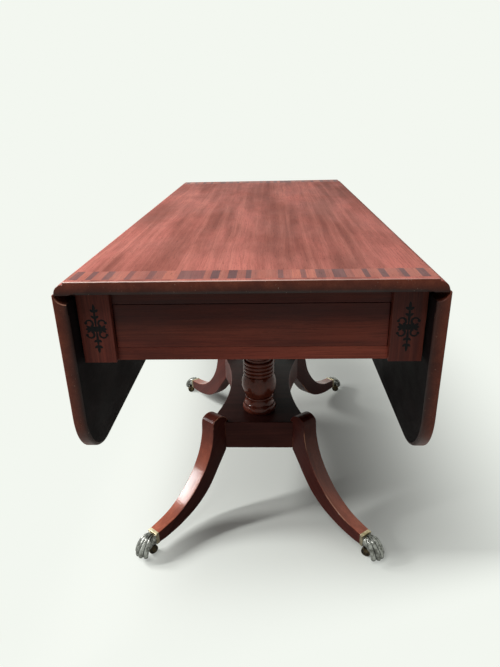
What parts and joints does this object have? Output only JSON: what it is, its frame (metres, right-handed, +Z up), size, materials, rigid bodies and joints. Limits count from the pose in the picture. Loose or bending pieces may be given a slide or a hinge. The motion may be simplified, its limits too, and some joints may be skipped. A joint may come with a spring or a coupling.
{
  "type": "pembroke table",
  "caption": "Drop-leaf pembroke table with rule-jointed leaves, an end drawer and twin turned columns on a waisted platform with sabre legs and paw castors.",
  "frame": {"origin": "on the floor under the centre of the top", "axes": "+X across the top, +Y along its length away from the drawer end, +Z up"},
  "size_m": [0.5734, 1.2, 0.725],
  "materials": {
    "top_mahogany": "satin french polish",
    "crossband": "satin french polish",
    "frieze_mahogany": "satin french polish",
    "dark_mahogany": "gloss french polish",
    "secondary_wood": "bare, aged",
    "brass": "aged, dull",
    "iron": "dark, oiled"
  },
  "bodies": {
    "frame": {"table_top": "top_mahogany", "end_crossbands": "crossband", "hinge_fixed_flaps": "iron", "hinge_pins": "iron", "hinge_top_screws": "iron", "front_top_rail": "frieze_mahogany", "front_bottom_rail": "frieze_mahogany", "back_top_rail": "frieze_mahogany", "back_bottom_rail": "frieze_mahogany", "corner_post_front_right": "frieze_mahogany", "corner_post_front_left": "frieze_mahogany", "corner_post_back_right": "frieze_mahogany", "corner_post_back_left": "frieze_mahogany", "side_rail_right": "secondary_wood", "side_rail_left": "secondary_wood", "dummy_drawer_front": "frieze_mahogany", "fly_bracket_front_right": "secondary_wood", "fly_bracket_front_left": "secondary_wood", "fly_bracket_back_right": "secondary_wood", "fly_bracket_back_left": "secondary_wood", "fly_pins": "iron", "fly_centre_blocks": "secondary_wood", "fly_end_blocks": "secondary_wood", "drawer_runners": "secondary_wood", "drawer_kickers": "secondary_wood", "drawer_stops": "secondary_wood", "bearers": "secondary_wood", "bearer_screws": "iron", "column_front": "dark_mahogany", "column_back": "dark_mahogany", "platform": "dark_mahogany", "leg_front_right": "dark_mahogany", "leg_front_left": "dark_mahogany", "leg_back_right": "dark_mahogany", "leg_back_left": "dark_mahogany", "paw_cap_front_right": "brass", "paw_cap_front_left": "brass", "paw_cap_back_right": "brass", "paw_cap_back_left": "brass"},
    "left_leaf": {"leaf_left": "top_mahogany", "leaf_crossband_left": "crossband", "hinge_leaf_flaps_left": "iron", "hinge_leaf_screws_left": "iron"},
    "right_leaf": {"leaf_right": "top_mahogany", "leaf_crossband_right": "crossband", "hinge_leaf_flaps_right": "iron", "hinge_leaf_screws_right": "iron"},
    "drawer": {"drawer_front": "frieze_mahogany", "drawer_sides": "secondary_wood", "drawer_back": "secondary_wood", "drawer_bottom": "secondary_wood"},
    "castor_front_left": {"castor_fork_front_left": "brass"},
    "wheel_front_left": {"castor_wheel_front_left": "brass"},
    "castor_front_right": {"castor_fork_front_right": "brass"},
    "wheel_front_right": {"castor_wheel_front_right": "brass"},
    "castor_back_left": {"castor_fork_back_left": "brass"},
    "wheel_back_left": {"castor_wheel_back_left": "brass"},
    "castor_back_right": {"castor_fork_back_right": "brass"},
    "wheel_back_right": {"castor_wheel_back_right": "brass"}
  },
  "joints": [
    {"name": "left_leaf_hinge", "type": "hinge", "parent": "frame", "child": "left_leaf", "pos_m": [-0.268, 0, 0.7065], "axis": [0, 1, 0], "range_deg": [0, 90]},
    {"name": "right_leaf_hinge", "type": "hinge", "parent": "frame", "child": "right_leaf", "pos_m": [0.268, 0, 0.7065], "axis": [0, -1, 0], "range_deg": [0, 90]},
    {"name": "drawer_slide", "type": "slide", "parent": "frame", "child": "drawer", "axis": [0, -1, 0], "range_m": [0, 0.3]},
    {"name": "castor_swivel_front_left", "type": "hinge", "parent": "frame", "child": "castor_front_left", "pos_m": [-0.25514, -0.39084, 0.025], "axis": [0, 0, 1], "continuous": true},
    {"name": "wheel_spin_front_left", "type": "hinge", "parent": "castor_front_left", "child": "wheel_front_left", "pos_m": [-0.24748, -0.38441, 0.011], "axis": [-0.6428, 0.766, 0], "continuous": true},
    {"name": "castor_swivel_front_right", "type": "hinge", "parent": "frame", "child": "castor_front_right", "pos_m": [0.25514, -0.39084, 0.025], "axis": [0, 0, 1], "continuous": true},
    {"name": "wheel_spin_front_right", "type": "hinge", "parent": "castor_front_right", "child": "wheel_front_right", "pos_m": [0.24648, -0.38584, 0.011], "axis": [-0.5, -0.866, 0], "continuous": true},
    {"name": "castor_swivel_back_left", "type": "hinge", "parent": "frame", "child": "castor_back_left", "pos_m": [-0.25514, 0.39084, 0.025], "axis": [0, 0, 1], "continuous": true},
    {"name": "wheel_spin_back_left", "type": "hinge", "parent": "castor_back_left", "child": "wheel_back_left", "pos_m": [-0.26454, 0.38742, 0.011], "axis": [0.342, -0.9397, 0], "continuous": true},
    {"name": "castor_swivel_back_right", "type": "hinge", "parent": "frame", "child": "castor_back_right", "pos_m": [0.25514, 0.39084, 0.025], "axis": [0, 0, 1], "continuous": true},
    {"name": "wheel_spin_back_right", "type": "hinge", "parent": "castor_back_right", "child": "wheel_back_right", "pos_m": [0.26508, 0.3898, 0.011], "axis": [0.1045, 0.9945, 0], "continuous": true}
  ]
}
